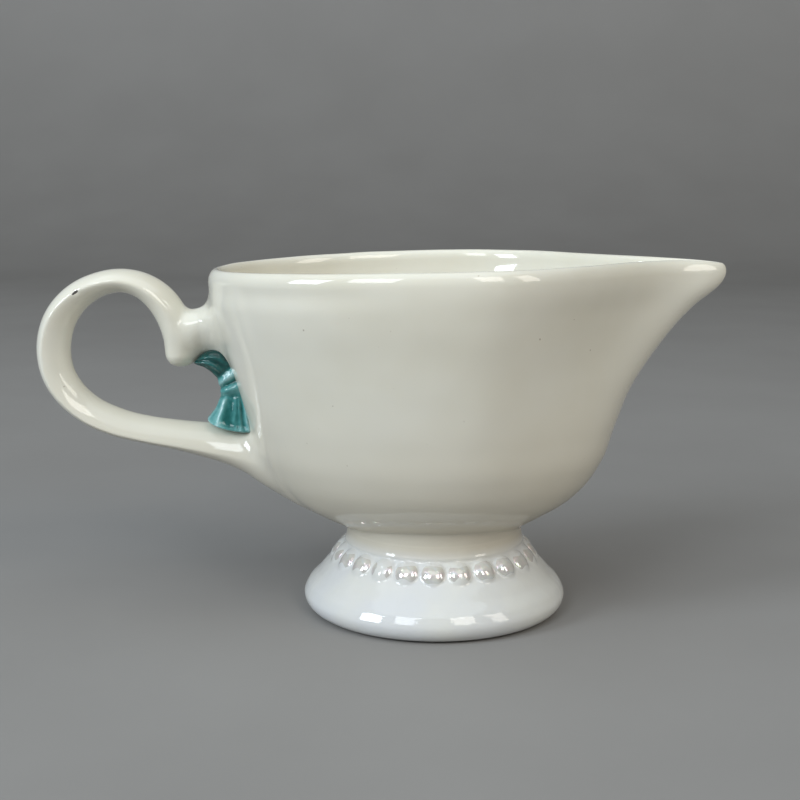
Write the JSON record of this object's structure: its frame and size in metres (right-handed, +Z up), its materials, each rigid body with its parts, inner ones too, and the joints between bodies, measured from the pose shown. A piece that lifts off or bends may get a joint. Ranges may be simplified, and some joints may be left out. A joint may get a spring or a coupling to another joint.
{
  "type": "cream jug",
  "caption": "Footed oval cream jug with a pouring spout, a looped scroll handle, a relief ribbon bow on the handle's web and a beaded foot.",
  "frame": {"origin": "on the resting plane, under the middle of the jug's overall length and width", "axes": "+X from the handle towards the spout, +Z up, +Y to the jug's far side when the spout points right"},
  "size_m": [0.1673, 0.0864, 0.0863],
  "materials": {
    "ivory_glaze": "clear gloss over ivory porcelain",
    "teal_glaze": "translucent teal gloss, dark in the folds",
    "pearl_lustre": "mother-of-pearl lustre over ivory"
  },
  "bodies": {
    "root": {"bowl": "ivory_glaze", "pedestal_foot": "ivory_glaze", "handle": "ivory_glaze", "ribbon_bow": "teal_glaze", "pearl_01": "pearl_lustre", "pearl_02": "pearl_lustre", "pearl_03": "pearl_lustre", "pearl_04": "pearl_lustre", "pearl_05": "pearl_lustre", "pearl_06": "pearl_lustre", "pearl_07": "pearl_lustre", "pearl_08": "pearl_lustre", "pearl_09": "pearl_lustre", "pearl_10": "pearl_lustre", "pearl_11": "pearl_lustre", "pearl_12": "pearl_lustre", "pearl_13": "pearl_lustre", "pearl_14": "pearl_lustre", "pearl_15": "pearl_lustre", "pearl_16": "pearl_lustre", "pearl_17": "pearl_lustre", "pearl_18": "pearl_lustre", "pearl_19": "pearl_lustre", "pearl_20": "pearl_lustre", "pearl_21": "pearl_lustre", "pearl_22": "pearl_lustre", "pearl_23": "pearl_lustre", "pearl_24": "pearl_lustre"}
  },
  "joints": []
}
